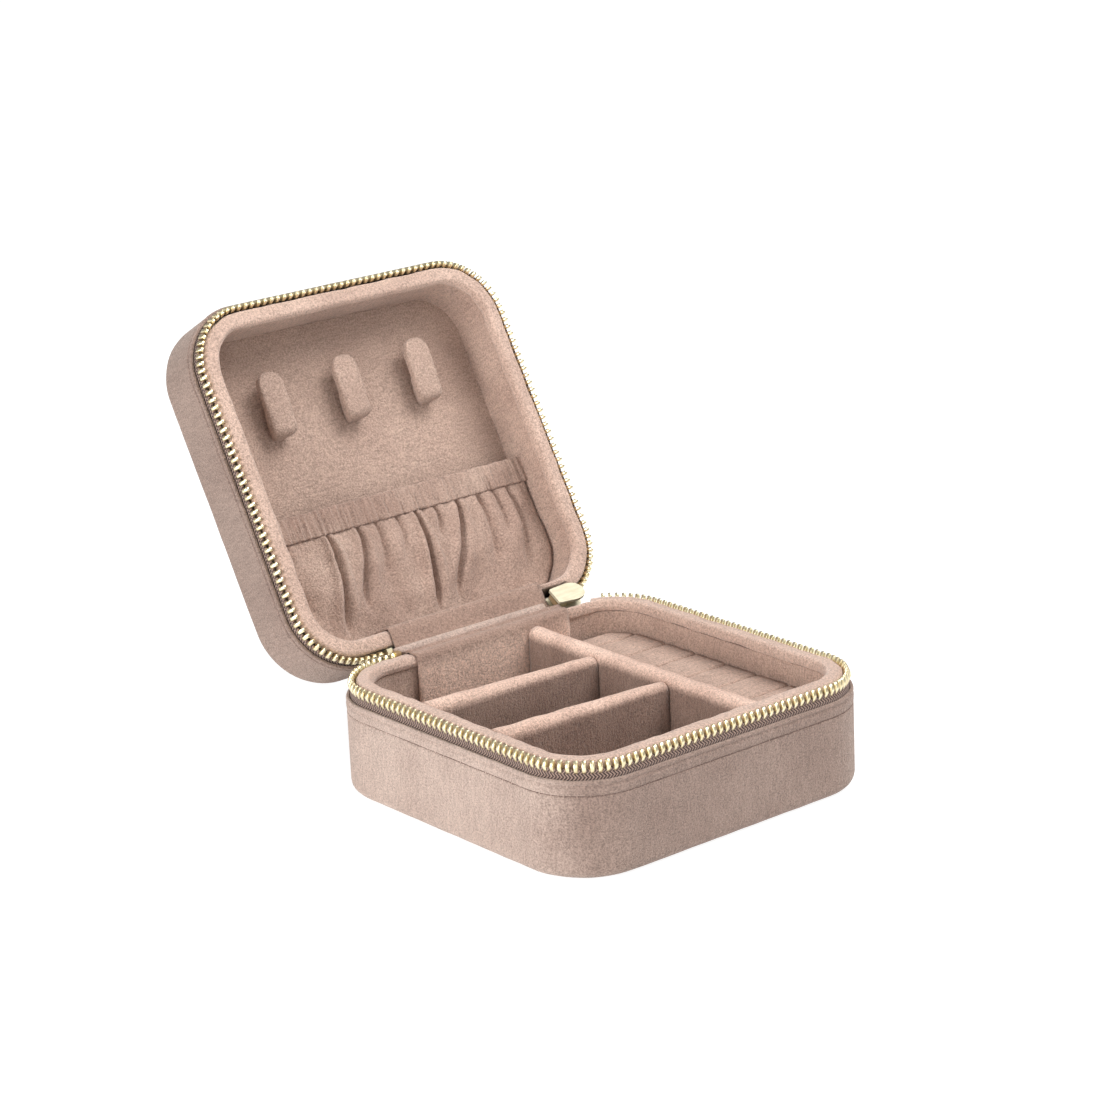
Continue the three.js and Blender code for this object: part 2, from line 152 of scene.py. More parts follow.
def ruffle(piece, amount, size, seed=0.0):
    """Moves the points along their normals by smooth noise: amount and size in millimetres."""
    offset = Vector((seed, 2.3 * seed, -1.7 * seed))
    rest = [(v.co.copy(), v.normal.copy()) for v in piece.data.vertices]
    for v, (place, normal) in zip(piece.data.vertices, rest):
        v.co = place + normal * (amount * M * noise.noise(place / (size * M) + offset))


def rounded(corners, steps=4):
    """A path through corners (a, b, radius), each corner as an arc; the ends keep radius 0."""
    path = []
    count = len(corners)
    for i, (a, b, radius) in enumerate(corners):
        here = Vector((a, b))
        if radius <= 0:
            path.append(here)
            continue
        before = (Vector(corners[(i - 1) % count][:2]) - here).normalized()
        after = (Vector(corners[(i + 1) % count][:2]) - here).normalized()
        half_angle = before.angle(after) / 2
        reach = radius / math.tan(half_angle)
        centre = here + (before + after).normalized() * (radius / math.sin(half_angle))
        first = here + before * reach - centre
        turn = first.angle_signed(here + after * reach - centre)
        for k in range(steps + 1):
            path.append(centre + Matrix.Rotation(-turn * k / steps, 2) @ first)
    return [(p.x, p.y) for p in path]


def station(s):
    """Centre, outward normal and forward direction at a distance s round the outline.

    s starts in the middle of the rear wall and runs towards -X, so counterclockwise from above.
    """
    side, along = divmod((s + SIDE / 2) % ROUND, SIDE + ARC)
    angle = side * math.pi / 2 + max(0.0, along - SIDE) / CORNER_R
    turn = Matrix.Rotation(side * math.pi / 2, 2)
    centre = turn @ Vector((SIDE / 2 - min(along, SIDE), SIDE / 2))
    normal = Matrix.Rotation(angle, 2) @ Vector((0, 1))
    return centre, normal, Vector((-normal.y, normal.x))


def on_outline(s, inset, z):
    centre, normal, _ = station(s)
    p = centre + normal * (CORNER_R - inset)
    return (p.x, p.y, z)


def spaced(start, end, step=STEP):
    count = max(2, round((end - start) / step))
    return [start + (end - start) * i / count for i in range(count + 1)]


def grid_faces(rows, columns, wrap_rows=False, wrap_columns=False):
    faces = []
    for i in range(rows if wrap_rows else rows - 1):
        for j in range(columns if wrap_columns else columns - 1):
            a, b = i * columns, ((i + 1) % rows) * columns
            k = (j + 1) % columns
            faces.append((a + j, b + j, b + k, a + k))
    return faces


def tube_faces(rows, columns):
    """Faces of a closed tube: rings of points, with both ends capped."""
    last = (rows - 1) * columns
    faces = grid_faces(rows, columns, wrap_columns=True)
    return faces + [tuple(range(columns)), tuple(range(last, last + columns))]


def cloth_faces(rows, columns):
    """Faces of a closed cloth made of two equal grids of points, the outer one first."""
    size = rows * columns
    skin = grid_faces(rows, columns)
    faces = skin + [tuple(size + index for index in reversed(face)) for face in skin]
    borders = (range(columns), range(size - columns, size),
               range(0, size, columns), range(columns - 1, size, columns))
    for border in borders:
        faces += [(a, b, b + size, a + size) for a, b in zip(border, border[1:])]
    return faces


def shifted(faces, first):
    """The same faces for points that start at a later index."""
    return [tuple(first + index for index in face) for face in faces]


def swept(profile, start=0.0, end=ROUND, warp=None):
    """A closed profile of (inset, z) run round the outline: a full ring, or a stretch with ends."""
    ring = end - start >= ROUND - 1e-6
    distances = spaced(start, end)
    if ring:
        distances.pop()
    points, uvs = [], []
    for s in distances:
        for inset, z in profile:
            if warp:
                inset, z = warp(s, inset, z)
            points.append(on_outline(s, inset, z))
            uvs.append((s, z))
    rows, columns = len(distances), len(profile)
    if ring:
        return points, grid_faces(rows, columns, wrap_rows=True, wrap_columns=True), uvs
    return points, tube_faces(rows, columns), uvs


def capped(profile, crowns=(0.0, 0.0)):
    """An open profile run round the outline, its two ends closed by discs that rise by a crown."""
    distances = spaced(0, ROUND)[:-1]
    columns = len(profile)
    points = [on_outline(s, inset, z) for s in distances for inset, z in profile]
    rows = len(distances)
    faces = grid_faces(rows, columns, wrap_rows=True)
    for column, crown in ((0, crowns[0]), (columns - 1, crowns[1])):
        edge = [i * columns + column for i in range(rows)]
        previous = edge
        for scale in (0.8, 0.6, 0.4, 0.2):
            ring = []
            for i in edge:
                x, y, z = points[i]
                ring.append(len(points))
                points.append((x * scale, y * scale, z + crown * (1 - scale * scale)))
            for i in range(rows):
                k = (i + 1) % rows
                faces.append((previous[i], previous[k], ring[k], ring[i]))
            previous = ring
        points.append((0, 0, points[edge[0]][2] + crown))
        for i in range(rows):
            faces.append((previous[i], previous[(i + 1) % rows], len(points) - 1))
    return points, faces


def smooth_step(t):
    t = min(1.0, max(0.0, t))
    return t * t * (3 - 2 * t)


def plateau(x, low, high, blend=1.0):
    """1 between low and high, 0 outside, with soft flanks of the given width outside them."""
    return smooth_step((x - low) / blend + 1) * smooth_step((high - x) / blend + 1)


# ---- materials ------------------------------------------------------------------------------
class Nodes:
    """Short calls for adding and wiring shader nodes."""

    def __init__(self, name):
        self.material = bpy.data.materials.new(name)
        self.material.use_nodes = True
        self.tree = self.material.node_tree
        self.shader = self.tree.nodes["Principled BSDF"]

    def add(self, kind, **settings):
        node = self.tree.nodes.new(kind)
        for key, value in settings.items():
            setattr(node, key, value)
        return node

    def link(self, source, target):
        self.tree.links.new(source, target)

    def coordinates(self, scale=(1, 1, 1), turn=0.0, source="Object"):
        """Coordinates of the closed case in millimetres, turned back from the rest place."""
        start = self.add("ShaderNodeTexCoord")
        turned = self.add("ShaderNodeMapping")
        turned.inputs["Rotation"].default_value = (turn, 0, 0)
        stretched = self.add("ShaderNodeMapping")
        unit = 1 if source == "UV" else 1 / M
        stretched.inputs["Scale"].default_value = [unit * value for value in scale]
        self.link(start.outputs[source], turned.inputs["Vector"])
        self.link(turned.outputs["Vector"], stretched.inputs["Vector"])
        return stretched.outputs["Vector"]

    def noise(self, vector, scale, detail=2.0, roughness=0.5):
        node = self.add("ShaderNodeTexNoise")
        node.inputs["Scale"].default_value = scale
        node.inputs["Detail"].default_value = detail
        node.inputs["Roughness"].default_value = roughness
        self.link(vector, node.inputs["Vector"])
        return node.outputs["Fac"]

    def math(self, operation, *values):
        node = self.add("ShaderNodeMath", operation=operation)
        for socket, value in zip(node.inputs, values):
            if isinstance(value, (int, float)):
                socket.default_value = value
            else:
                self.link(value, socket)
        return node.outputs[0]

    def across(self, vector, direction):
        """How far a place lies along a direction."""
        node = self.add("ShaderNodeVectorMath", operation="DOT_PRODUCT")
        node.inputs[1].default_value = direction
        self.link(vector, node.inputs[0])
        return node.outputs["Value"]

    def ramp(self, factor, low, high, position=(0.3, 0.7)):
        node = self.add("ShaderNodeValToRGB")
        ends = node.color_ramp.elements
        ends[0].position, ends[1].position = position
        ends[0].color = (*low, 1)
        ends[1].color = (*high, 1)
        self.link(factor, node.inputs["Fac"])
        return node.outputs["Color"]

    def mix(self, factor, first, second, kind="MIX"):
        node = self.add("ShaderNodeMix", data_type="RGBA", blend_type=kind)
        node.inputs["Factor"].default_value = factor if isinstance(factor, (int, float)) else 0.5
        if not isinstance(factor, (int, float)):
            self.link(factor, node.inputs["Factor"])
        self.link(first, node.inputs["A"])
        self.link(second, node.inputs["B"])
        return node.outputs["Result"]

    def bump(self, height, distance, strength=1.0, below=None):
        node = self.add("ShaderNodeBump")
        node.inputs["Distance"].default_value = distance * M
        node.inputs["Strength"].default_value = strength
        self.link(height, node.inputs["Height"])
        if below:
            self.link(below, node.inputs["Normal"])
        return node.outputs["Normal"]

    def finish(self, color=None, normal=None, **numbers):
        if color:
            self.link(color, self.shader.inputs["Base Color"])
        if normal:
            self.link(normal, self.shader.inputs["Normal"])
        for key, value in numbers.items():
            self.shader.inputs[key.replace("_", " ").title().replace("Ior", "IOR")].default_value = value
        return self.material


def shade(color, factor):
    return tuple(channel * factor for channel in color)


TUFT_SCALE, RIB_SCALE, PATCH_SCALE = 2.1, 1.3, 0.06     # noise per millimetre
OUTSIDE = (0.49, 0.372, 0.315)
LINING = (0.55, 0.39, 0.315)
SHEEN_TINT = (1.0, 0.90, 0.83, 1)


def velvet(name, color, body="base", ribs=(1, 1, 1), rib_depth=0.1, sheen=0.3, brushed=0.08,
           painted_shade=None):
    """Short pile: granular tufts, knit ribs in one direction, and softly brushed patches.

    The last argument is (direction, low, high, darkest) in the closed case: painted shade that darkens
    the colour to darkest towards low along the direction and fades out towards high.
    """
    n = Nodes(name)
    turn = TURN[body]
    place = n.coordinates(turn=turn)
    tufts = n.noise(place, TUFT_SCALE, detail=2, roughness=0.75)
    rib = n.noise(n.coordinates(ribs, turn), RIB_SCALE, detail=1)
    patch = n.noise(place, PATCH_SCALE, detail=2)
    fine = n.mix(0.36, n.ramp(tufts, shade(color, 0.50), shade(color, 1.42), (0.34, 0.66)),
                 n.ramp(rib, shade(color, 0.76), shade(color, 1.16), (0.36, 0.64)))
    patches = n.ramp(patch, (1 - brushed, 1 - 1.25 * brushed, 1 - 1.3 * brushed), (1.03, 1.03, 1.03),
                     (0.36, 0.62))
    tinted = n.mix(1.0, fine, patches, "MULTIPLY")
    # painted shade: the colour darkens along a fixed direction of the closed case, its edge jittered by
    # the patches
    if painted_shade:
        direction, low, high, darkest = painted_shade
        along = n.math("ADD", n.across(place, direction), n.math("MULTIPLY", patch, (high - low) * 0.4))
        share = n.math("DIVIDE", n.math("SUBTRACT", along, low + (high - low) * 0.2), high - low)
        shadow = (darkest, darkest * 0.94, darkest * 0.92)
        tinted = n.mix(1.0, tinted, n.ramp(share, shadow, (1, 1, 1), (0, 1)), "MULTIPLY")
    normal = n.bump(tufts, 0.45, 1.0, n.bump(rib, rib_depth, 0.8))
    return n.finish(tinted, normal, roughness=0.95, sheen_weight=sheen, sheen_roughness=0.5,
                    sheen_tint=SHEEN_TINT, specular_ior_level=0.1)


def zip_metal():
    """Pale gold plating with a faint brushed unevenness."""
    n = Nodes("zip_gold")
    place = n.coordinates()
    worn = n.noise(place, 0.8, detail=3)
    color = n.ramp(worn, (0.80, 0.68, 0.41), (0.95, 0.87, 0.62), (0.35, 0.65))
    normal = n.bump(n.noise(place, 6.0), 0.02, 0.5)
    return n.finish(color, normal, metallic=1.0, roughness=0.32)


def plate_metal():
    """The slider and pull: smooth, paler gold."""
    n = Nodes("slider_gold")
    place = n.coordinates((1, 4, 1))
    worn = n.noise(place, 0.35, detail=4)
    color = n.ramp(worn, (0.50, 0.455, 0.33), (0.58, 0.54, 0.41), (0.35, 0.65))
    normal = n.bump(n.noise(place, 5.0), 0.01, 0.4)
    return n.finish(color, normal, metallic=0.7, roughness=0.6)


TAPE_ROW, TAPE_RIB = 0.8, 0.9           # width of a herringbone row and pitch of its ribs


def tape_weave():
    """Herringbone tape: diagonal ribs that turn back in narrow rows along the tape."""
    n = Nodes("tape_herringbone")
    split = n.add("ShaderNodeSeparateXYZ")
    n.link(n.coordinates(source="UV"), split.inputs[0])
    zigzag = n.math("PINGPONG", split.outputs["Y"], TAPE_ROW)
    phase = n.math("MULTIPLY", n.math("ADD", split.outputs["X"], zigzag), 2 * math.pi / TAPE_RIB)
    rib = n.math("MULTIPLY_ADD", n.math("SINE", phase), 0.5, 0.5)
    color = n.ramp(rib, (0.06, 0.036, 0.03), (0.40, 0.27, 0.22), (0.15, 0.9))
    return n.finish(color, n.bump(rib, 0.3), roughness=0.85, sheen_weight=0.1)


def plain_weave(name, color, size=0.35):
    """Thread, elastic and other small woven or grained matter."""
    n = Nodes(name)
    place = n.coordinates()
    grain = n.noise(place, 1 / size, detail=2)
    return n.finish(n.ramp(grain, shade(color, 0.75), shade(color, 1.15)),
                    n.bump(grain, 0.1), roughness=0.9)


UPRIGHT = (1.1, 1.1, 0.25)               # rib directions: coarse across, long along
LEVEL = (0.25, 1.2, 0.8)
# Painted shade as (direction, low, high, darkest): darker front and right outside walls, darker lower
# divider faces, and a flap darker from the rim upwards
SHADE_FRONT_TO_LEFT = ((-1, 1, 0), -2, 20, 0.60)
SHADE_LOW_TO_CREST = ((0, 0, 1), 24.8, 26.6, 0.40)
SHADE_RIM_TO_FLOOR = ((0, 0, -1), -29.0, -25.0, 0.52)
MATERIALS = {
    "outside": {half.body: velvet(f"velvet_outside_{half.body}", OUTSIDE, half.body, UPRIGHT, 0.08,
                                  painted_shade=SHADE_FRONT_TO_LEFT) for half in (BASE, LID)},
    "wall": {half.body: velvet(f"velvet_wall_{half.body}", shade(LINING, 0.92), half.body, UPRIGHT, 0.15,
                               brushed=0.12) for half in (BASE, LID)},
    "rim": {half.body: velvet(f"velvet_rim_{half.body}", shade(LINING, 1.02), half.body, sheen=0.5)
            for half in (BASE, LID)},
    "flap": velvet("velvet_flap", shade(LINING, 1.22), "base", (1.0, 0.5, 0.5), 0.1, painted_shade=SHADE_RIM_TO_FLOOR),
    "panel": velvet("velvet_panel", shade(LINING, 0.84), "lid", LEVEL, 0.15, brushed=0.06),
    "hook": velvet("velvet_hook", shade(LINING, 0.82), "lid", brushed=0.05),
    "casing": velvet("velvet_casing", shade(LINING, 0.82), "lid", (0.9, 0.1, 0.1), 0.8, brushed=0.2),
    "pocket": velvet("velvet_pocket", shade(LINING, 0.86), "lid", UPRIGHT, 0.12, brushed=0.16),
    "divider": velvet("velvet_divider", shade(LINING, 1.3), "base", UPRIGHT, 0.2, brushed=0.16,
                      painted_shade=SHADE_LOW_TO_CREST),
    "rolls": velvet("velvet_rolls", shade(LINING, 0.98), "base", (0.15, 1.3, 1.3), 0.25),
    "zip": zip_metal(),
    "plate": plate_metal(),
    "tape": tape_weave(),
    "thread": plain_weave("sewing_thread", (0.17, 0.11, 0.09), 0.2),
    "elastic": plain_weave("elastic_weave", (0.78, 0.74, 0.68)),
    "board": plain_weave("grey_board", (0.30, 0.26, 0.21), 0.8),
    "foam": plain_weave("foam_cells", (0.35, 0.29, 0.25), 0.6),
}


# ---- shells ---------------------------------------------------------------------------------
COVER_WALL = 1.9
COVER_LIP = 0.9
EDGE_R = 3.0
SEAM_DEPTH = 0.26
TAPE_SEWN = 4.9
CAP_INSET = 17.6                        # the flat faces are closed by discs inside this
PLATE = {"base": 1.9, "lid": 1.0}       # thickness of each cover's flat face


def cover(half, plate):
    """Outer velvet: soft outer edge, a sewn groove, and a folded lip where the tape comes out."""
    step = half.edge - TAPE_SEWN - GAP
    groove = [(0, half.seam - 0.4, 0.2), (SEAM_DEPTH, half.seam, 0.08), (0, half.seam + 0.4, 0.2)]
    fold = [(-0.12, half.edge - 1.9, 0.5), (0.2, half.edge - 1.15, 0.15)]
    corners = [
        (CAP_INSET, 0, 0), (0, 0, EDGE_R), *groove, *([] if half.flip else fold),
        (-0.1, half.edge - 0.6, 0.2), (0.1, half.edge, 0.3), (COVER_LIP, half.edge, 0.25),
        (COVER_LIP, step, 0.1), (COVER_WALL, step, 0.1), (COVER_WALL, plate, 0.3), (CAP_INSET, plate, 0),
    ]
    corners = [(inset, half.z(height), radius) for inset, height, radius in corners]
    crown = 0.35 if half.flip else 0.0
    points, faces = capped(rounded(corners, 5), (crown, 0.0))
    piece = build(f"{half.body}_velvet", points, faces, half.body, MATERIALS["outside"][half.body],
                  [f"{half.body}_cover"])
    ruffle(piece, 0.10, 6.0)


def thread(middle, length, radius, place):
    """Points and faces of one stitch of six sides; place(along) gives its centre and two directions."""
    points = []
    for along, size in ((-0.5, 0.8), (-0.47, 1.8), (-0.42, 0.9), (0.42, 0.9), (0.47, 1.8), (0.5, 0.8)):
        centre, across, up = place(middle + along * length, 2 * along)
        for k in range(6):
            angle = math.pi * k / 3
            points.append(centre + (across * math.cos(angle) + up * math.sin(angle)) * (radius * size))
    return points, tube_faces(6, 6)


def thread_row(name, slot, body, start, end, pitch, length, radius, place):
    """A row of equal stitches between two distances."""
    points, faces = [], []
    count = round((end - start) / pitch)
    for i in range(count):
        first = len(points)
        new, sides = thread(start + (end - start) * (i + 0.5) / count, length, radius, place)
        points += new
        faces += shifted(sides, first)
    build(name, points, faces, body, MATERIALS["thread"])


COVER_STITCH = (3.2, 2.7, 0.14)         # pitch, length and thread radius
POCKET_STITCH = (1.9, 1.8, 0.07)


def stitches(half):
    """Sunken stitches round the groove below the cover's edge, thicker where they dive in."""
    def place(s, share):
        _, normal, _ = station(s)
        inset = SEAM_DEPTH - 0.06 + 0.08 * share * share
        return Vector(on_outline(s, inset, half.z(half.seam))), normal.to_3d(), Vector((0, 0, 1))

    thread_row(f"{half.body}_stitches", "outer_velvet", half.body, 0, ROUND, *COVER_STITCH, place)


RIM_OUTER, RIM_INNER = 2.6, 7.0         # insets of the rim roll's two sides
RIM_HEIGHT = 3.0
RIM_CUT_BACK = 5.4                      # inset that the rim keeps to beside the slider
UNDER_FLAP = 0.8                        # how far the flap presses the rim down
LINER_OUTER = 3.8
BESIDE_WALL = 6.2                       # inset at which a piece meets the lining of the walls
FLAP_SIDES = (-23.6, 26.3)              # the hinge flap, between the zip's end and the slider
TEETH_RIGHT = 37.6                      # x of the first tooth beyond the parked slider
SLIDER_FROM, SLIDER_TO = 26.7, 36.8     # rims and linings are cut back between these


def from_rear(s):
    """Signed distance from the middle of the rear wall, positive towards +X."""
    s %= ROUND
    return -s if s < ROUND / 2 else ROUND - s


def rim(half):
    """Padded velvet roll along the opening, lowered under the flap and cut back at the slider."""
    foot = half.rim_top - RIM_HEIGHT
    cut_back = (RIM_INNER - RIM_CUT_BACK) / (RIM_INNER - RIM_OUTER)
    corners = [(RIM_OUTER, foot, 0.5), (RIM_INNER - 0.3, foot - 0.1, 0.6),
               (RIM_INNER + 0.05, foot + 1.2, 0.5), (RIM_INNER - 0.5, half.rim_top, 1.25),
               (2.8, half.rim_top - 0.25, 1.0)]
    profile = rounded([(a, half.z(h), r) for a, h, r in corners], 5)
    down = UNDER_FLAP if half.flip else -UNDER_FLAP

    def warp(s, inset, z):
        x = from_rear(s)
        flap = plateau(x, *FLAP_SIDES, 0.5)
        slider = plateau(x, SLIDER_FROM, SLIDER_TO, 0.4)
        above = smooth_step((half.height(z) - foot) / RIM_HEIGHT)
        inset = RIM_INNER + (inset - RIM_INNER) * (1 - slider * (1 - cut_back))
        return inset, z + down * flap * above

    points, faces, uvs = swept(profile, warp=warp)
    piece = build(f"{half.body}_rim_roll", points, faces, half.body, MATERIALS["rim"][half.body],
                  [f"{half.body}_rim"], uvs)
    ruffle(piece, 0.28, 4.0, 3.0)


def liner(half):
    """Padded inside wall."""
    low, high = span(f"{half.body}_wall_liner", half.body)
    inner = BESIDE_WALL
    middle = (low.z + high.z) / 2
    profile = rounded([(LINER_OUTER, low.z, 0.3), (inner, low.z, 0.3), (inner + 0.15, middle, 6.0),
                       (inner, high.z, 0.3), (LINER_OUTER, high.z, 0.3)], 5)

    def warp(s, inset, z):
        slider = plateau(from_rear(s), SLIDER_FROM, SLIDER_TO, 0.4)
        near = slider * smooth_step((half.height(z) - half.edge + 1.5) / 1.2)
        return inner + (inset - inner) * (1 - near * 0.85), z

    points, faces, uvs = swept(profile, warp=warp)
    piece = build(f"{half.body}_lining", points, faces, half.body, MATERIALS["wall"][half.body],
                  [f"{half.body}_wall_liner"], uvs)
    ruffle(piece, 0.25, 7.0, 5.0)


PAD_INSET = 6.0


def pad(name, node, body, material, puff):
    """A flat panel inside the walls, crowned on the side that shows."""
    low, high = span(node, body)
    corners = [(CAP_INSET, low.z, 0), (PAD_INSET, low.z, 0.3), (PAD_INSET, high.z, 0.3),
               (CAP_INSET, high.z, 0)]
    points, faces = capped(rounded(corners, 3), puff)
    piece = build(name, points, faces, body, material, [node])
    ruffle(piece, 0.25, 9.0, 2.0)


# ---- zip ------------------------------------------------------------------------------------
TEETH_MIDDLE = 1.5
TEETH_PITCH = 2.05
TOOTH_GRIP = 0.55                       # how far a tooth's legs reach down over the tape
TAPE_LEFT = 24.9
TEETH_LEFT = 27.2


def tape(half):
    """Woven tape that stands out of the cover's lip and ends in a bead inside the teeth."""
    top = half.tape_top
    corners = [(1.0, top - 6.9, 0.1), (1.0, top - 1.9, 0.5), (1.25, top - 0.5, 0.3),
               (1.05, top, 0.2), (1.2, top + 0.45, 0.2), (1.8, top + 0.45, 0.2),
               (1.95, top, 0.2), (1.85, top - 0.5, 0.3), (1.9, top - 6.9, 0.1)]
    profile = rounded([(a, half.z(h), r) for a, h, r in corners], 3)
    points, faces, uvs = swept(profile, TAPE_LEFT, ROUND - TEETH_RIGHT - 0.8)
    build(f"tape_{half.body}", points, faces, half.body, MATERIALS["tape"],
          [f"zip_tape_{half.body}"], uvs)


def tooth(half, s):
    """One tooth: two legs that grip the tape, flanks that bulge outwards, and a socket on top."""
    foot = half.tape_top - TOOTH_GRIP
    rise = half.teeth_top - foot
    outline = [(-0.3, 0), (-0.45, 0.1), (-0.92, 0.46), (-0.86, 0.58), (-0.32, 0.98), (-0.15, 1), (0, 0.92),
               (0.15, 1), (0.32, 0.98), (0.86, 0.58), (0.92, 0.46), (0.45, 0.1), (0.3, 0)]
    centre, normal, forward = station(s)
    points = []
    for along, size in ((-0.48, 0.88), (-0.38, 1), (0.38, 1), (0.48, 0.88)):
        for across, up in outline:
            p = centre + normal * (CORNER_R - TEETH_MIDDLE + across * size) + forward * along
            level = foot + rise * (0.5 + (up - 0.5) * (0.93 if size < 1 else 1))
            points.append((p.x, p.y, half.z(level)))
    return points


def teeth(half):
    ends = (TEETH_LEFT, ROUND - TEETH_RIGHT - 1.2)
    count = int((ends[1] - ends[0]) / TEETH_PITCH)
    shift = TEETH_PITCH / 2 if half.flip else 0.0
    points, faces = [], []
    for i in range(count):
        first = len(points)
        new = tooth(half, ends[0] + shift + TEETH_PITCH * i)
        points += new
        faces += shifted(tube_faces(4, len(new) // 4), first)
    build(f"teeth_{half.body}", points, faces, half.body, MATERIALS["zip"],
          [f"zip_teeth_{half.body}"])


# ---- base fittings --------------------------------------------------------------------------
def bar_profile(half_width, low, high, radius):
    """Closed cross-section of a padded bar: square foot, rounded top."""
    return rounded([(-half_width, low, 0.2), (half_width, low, 0.2), (half_width, high, radius),
                    (-half_width, high, radius)], 7)


SHORT_DIVIDER_RISE = (1.3, -0.6)        # at the side wall, and at the long divider


def divider(name, node, axis, rise=(0.0, 0.0)):
    """A padded wall along X (0) or Y (1); its top is raised by rise at the two ends."""
    low, high = span(node, "base")
    across = 1 - axis
    half_width = (high[across] - low[across]) / 2
    middle = (high[across] + low[across]) / 2
    stations = spaced(low[axis], high[axis], 1.2)
    profile = bar_profile(half_width, low.z, high.z, half_width - 0.15)
    points = []
    for i, along in enumerate(stations):
        share = i / (len(stations) - 1)
        lift = rise[0] + (rise[1] - rise[0]) * share
        for offset, z in profile:
            weight = (z - low.z) / (high.z - low.z)
            point = [0, 0, z + lift * weight]
            point[axis] = along
            point[across] = middle + offset
            points.append(point)
    faces = tube_faces(len(stations), len(profile))
    piece = build(name, points, faces, "base", MATERIALS["divider"], [node])
    ruffle(piece, 0.28, 6.0, 7.0 + middle)


def inside_reach(y, inset):
    """How far the inside outline reaches in X at a given y."""
    radius = CORNER_R - inset
    beyond = abs(y) - SIDE / 2
    if beyond <= 0:
        return HALF - inset
    return SIDE / 2 + math.sqrt(max(0.0, radius * radius - beyond * beyond))


ROLL_COUNT = 8
ROLL_INSET = 6.5                        # the rolls end here, short of the wall lining


def ring_roll(index):
    """One padded roll of the ring section, cut to the rounded inside outline."""
    node = f"ring_roll_{index}"
    low, high = span(node, "base")
    middle = (low.y + high.y) / 2
    profile = bar_profile((high.y - low.y) / 2 + 0.05, low.z, high.z - 0.1, 1.0)
    steps = 20
    points = []
    for i in range(steps + 1):
        for offset, z in profile:
            y = middle + offset
            x = low.x + (inside_reach(y, ROLL_INSET) - low.x) * i / steps
            crown = 0.25 * (1 - (offset / (high.y - low.y) * 2) ** 2) if z > high.z - 1 else 0
            points.append((x, y, z + crown))
    piece = build(f"ring_cushion_{index}", points, tube_faces(steps + 1, len(profile)), "base",
                  MATERIALS["rolls"], [node])
    ruffle(piece, 0.2, 5.0, 11.0 * index)


# ---- lid fittings ---------------------------------------------------------------------------
HOOK_THICK = 2.6
HOOK_CORNER = 1.7


def round_off(distance, radius):
    """How much a rounded edge takes away at a distance from the end."""
    left = max(0.0, radius - distance)
    return radius - math.sqrt(radius * radius - left * left)


def hook(place):
    """Necklace hook: a padded tongue, round at its free tip, that grows out of the panel at its foot."""
    node = f"necklace_hook_{place}"
    low, high = span(node, "lid")
    middle = (low.x + high.x) / 2
    half_width = (high.x - low.x) / 2
    tip, foot, back = low.y, high.y, high.z
    rows, columns = 48, 32
    points = []
    for i in range(rows + 1):
        t = 0.5 - 0.5 * math.cos(math.pi * i / rows)
        y = tip + (foot - tip) * t
        width = half_width - round_off(y - tip, half_width) * 0.93 - round_off(foot - y, HOOK_CORNER)
        face = low.z + 0.1 + 0.7 * t
        front = face + round_off(y - tip, 1.2) + round_off(foot - y, 2.2)
        rear = face + HOOK_THICK - round_off(y - tip, 1.2)
        rear += (back - rear) * smooth_step((t - 0.55) / 0.2)
        for k in range(columns):
            angle = 2 * math.pi * k / columns
            c, s = math.cos(angle), math.sin(angle)
            z = (front + rear) / 2 + (rear - front) / 2 * math.copysign(abs(s) ** 0.4, s)
            neck = min(0.35 * width, 0.7 * max(0.0, z - face - HOOK_THICK))
            points.append((middle + (width - neck) * math.copysign(abs(c) ** 0.45, c), y, z))
    piece = build(f"hook_{place}", points, tube_faces(rows + 1, columns), "lid", MATERIALS["hook"],
                  [node])
    ruffle(piece, 0.06, 2.5, middle)


# Folds of the gathered pocket: x at the band, x and y at the fold's end, depth, width.
FOLDS = [
    (-37, -36, 33, 0.5, 1.6), (-24.0, -27.0, 38, 1.7, 0.9), (-14.0, -19.2, 34, 1.2, 1.1),
    (-8.0, -9.5, 27, 0.5, 1.5), (-1.0, -3.0, 25, 0.4, 1.4), (5.0, 2.0, 40, 1.9, 0.9),
    (11.5, 10.5, 22, 0.6, 1.2), (19.0, 9.7, 38, 1.3, 1.2), (26.4, 25.0, 33, 0.6, 1.8),
    (31.5, 30.5, 27, 0.4, 1.3), (36.5, 35.0, 36, 0.6, 1.6),
]


FOLD_STRENGTH = 2.3


def fold_depth(x, y, top):
    """How far the gathered cloth is pushed towards the panel at a point."""
    depth = 0.0
    for start, end, end_y, deep, width in FOLDS:
        t = (y - top) / (end_y - top)
        if t < 0 or t > 1.15:
            continue
        bow = 1.2 * math.sin(math.pi * min(1, t)) * (1 if end < start else -1)
        centre = start + (end - start) * smooth_step(t) + bow
        spread = width * (0.55 + 0.8 * t)
        strength = deep * smooth_step(t * 6 + 0.35) * smooth_step((1.15 - t) * 2.2)
        offset = abs(x - centre) / spread
        crease = math.exp(-3.0 * offset * offset) - 0.35 * math.exp(-0.45 * (offset - 2.2) ** 2)
        depth += FOLD_STRENGTH * strength * crease
    return depth


def gathers(x):
    """Fine puckers across the elastic: sharp small ones on broader ones, from -1 to 1."""
    small = 1 - 2.6 * abs(noise.noise(Vector((x / 1.2, 0, 4.2))))
    return 0.75 * small + 0.9 * noise.noise(Vector((x / 2.6, 3.0, 0)))


PUCKER_DEPTH = 0.55


